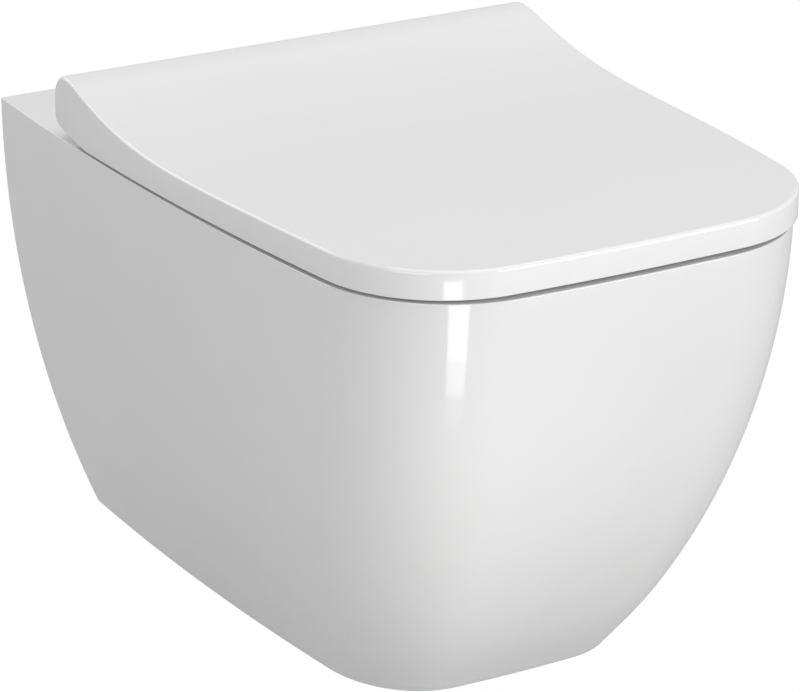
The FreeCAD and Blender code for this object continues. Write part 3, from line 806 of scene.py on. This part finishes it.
node_finish = {"inlet_seal": rubber, "stud_sleeves": nylon, "stud_washers": zinc,
               "hinge_posts": stainless, "post_gaskets": rubber, "post_screws": stainless,
               "anchor_sleeves": rubber, "anchor_nuts": brass, "hinge_blocks": chrome,
               "hinge_pins": stainless, "button_springs": stainless,
               "release_button_left": acetal, "release_button_right": acetal,
               "ring_buffers": pad_rubber, "lid_buffers": pad_rubber, "ring_damper": acetal,
               "lid_damper": acetal, "ring_hinge_bush": nylon, "lid_hinge_bush": nylon}
for name, material in node_finish.items():
    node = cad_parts[name]
    if not node.material_slots:
        node.data.materials.append(material)
    for slot in node.material_slots:
        slot.material = material


def finished(piece, material, body, node, smooth_below=32.0):
    """Smooths the curved faces, gives the finish and hands the piece to its body."""
    bpy.ops.object.select_all(action="DESELECT")
    bpy.context.view_layer.objects.active = piece
    piece.select_set(True)
    bpy.ops.object.shade_smooth_by_angle(angle=math.radians(smooth_below))
    piece.data.materials.clear()
    piece.data.materials.append(material)
    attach(piece, body)
    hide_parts(node)


finished(ceramic_pan(), ceramic, "pan", "ceramic_pan")
finished(lid_moulding(), duroplast, "lid", "seat_lid")
finished(seat_ring(), duroplast, "ring", "seat_ring")

# ---------------------------------------------------------------- floor, light and camera

floor_level = -0.320
white = (1, 1, 1, 1)


def white_to_the_eye(tree, kind, lit, strength, seen, mirrored, output):
    """Mixes plain white into a lit shader, by one share for the eye and one for mirrors."""
    glow = tree.nodes.new(kind)
    glow.inputs["Color"].default_value = white
    glow.inputs["Strength"].default_value = strength
    rays = tree.nodes.new("ShaderNodeLightPath")
    share = None
    for ray, part in (("Is Camera Ray", seen), ("Is Glossy Ray", mirrored),
                      ("Is Transmission Ray", seen)):
        scaled = tree.nodes.new("ShaderNodeMath")
        scaled.operation = "MULTIPLY"
        scaled.inputs[1].default_value = part
        tree.links.new(rays.outputs[ray], scaled.inputs[0])
        if share is None:
            share = scaled
            continue
        larger = tree.nodes.new("ShaderNodeMath")
        larger.operation = "MAXIMUM"
        tree.links.new(share.outputs[0], larger.inputs[0])
        tree.links.new(scaled.outputs[0], larger.inputs[1])
        share = larger
    mix = tree.nodes.new("ShaderNodeMixShader")
    tree.links.new(share.outputs[0], mix.inputs[0])
    tree.links.new(lit, mix.inputs[1])
    tree.links.new(glow.outputs[0], mix.inputs[2])
    tree.links.new(mix.outputs[0], output)


bpy.ops.object.select_all(action="DESELECT")
bpy.ops.mesh.primitive_plane_add(size=14.0, location=(0, 0, floor_level))
floor = bpy.context.object
floor.name = "studio_floor"
floor_finish = Finish("pale_floor", Roughness=0.7, Specular_IOR_Level=0.2)
floor_finish.feed(Base_Color=floor_finish.blend(floor_finish.noise(3.0),
                                                (0.42, 0.42, 0.42, 1), (0.46, 0.46, 0.46, 1)))
floor.data.materials.append(floor_finish.material)
white_to_the_eye(floor_finish.tree, "ShaderNodeEmission", floor_finish.shader.outputs[0],
                 strength=1.06, seen=0.93, mirrored=0.3,
                 output=floor_finish.tree.nodes["Material Output"].inputs["Surface"])

world = bpy.data.worlds.new("studio")
bpy.context.scene.world = world
world.use_nodes = True
air = world.node_tree
background = air.nodes["Background"]
background.inputs["Color"].default_value = white
background.inputs["Strength"].default_value = 0.40
white_to_the_eye(air, "ShaderNodeBackground", background.outputs[0],
                 strength=1.0, seen=1.0, mirrored=0.5,
                 output=air.nodes["World Output"].inputs["Surface"])


def softbox(name, place, aim, width, height, watts, mirrored=True):
    """A soft rectangular lamp that the eye doesn't see, and that gloss may or may not mirror."""
    lamp = bpy.data.lights.new(name, "AREA")
    lamp.shape = "RECTANGLE"
    lamp.size = width
    lamp.size_y = height
    lamp.energy = watts
    holder = bpy.data.objects.new(name, lamp)
    holder.location = place
    holder.rotation_euler = (Vector(aim) - Vector(place)).to_track_quat("-Z", "Y").to_euler()
    holder.visible_camera = False
    holder.visible_glossy = mirrored
    bpy.context.collection.objects.link(holder)


middle = (0.0, -0.27, -0.05)
behind = (-1.15, 1.65, 1.45)
softbox("overhead", (0.2, -0.5, 2.4), middle, width=2.2, height=2.2, watts=23.5)
softbox("front_key", (1.35, -2.6, 0.35), middle, width=1.8, height=1.2, watts=34.5)
softbox("left_fill", (-2.2, -1.8, 0.5), middle, width=1.4, height=1.4, watts=13.0)
softbox("back_rim", behind, middle, width=1.6, height=1.3, watts=11.0)
softbox("back_fill", behind, middle, width=1.6, height=1.3, watts=5.0, mirrored=False)

# A tall strip in front of the left corner, brightest above and fading to its foot
strip_foot = Vector((-0.2275, -0.784, 0.0))
strip_faces = Vector((-0.118, -0.530, 0.0))
strip_width = 0.088
for name, low, high, watts in (("strip", -0.157, 0.005, 0.162),
                               ("strip_lower", -0.235, -0.157, 0.046),
                               ("strip_end", -0.311, -0.235, 0.011)):
    rise = Vector((0.0, 0.0, (low + high) / 2))
    softbox(name, strip_foot + rise, strip_faces + rise, strip_width, high - low, watts)

focal_pixels = 4145.3
picture_pixels = 800.0
camera = bpy.data.cameras.new("camera")
camera.sensor_width = 36.0
camera.lens = focal_pixels / picture_pixels * camera.sensor_width
viewer = bpy.data.objects.new("camera", camera)
viewer.location = (-1.3519, -2.5535, 0.9470)
viewer.rotation_euler = (math.radians(69.348), 0.0, math.radians(-30.469))
bpy.context.collection.objects.link(viewer)
bpy.context.scene.camera = viewer
bpy.context.scene.view_settings.view_transform = "Standard"

bpy.context.view_layer.update()
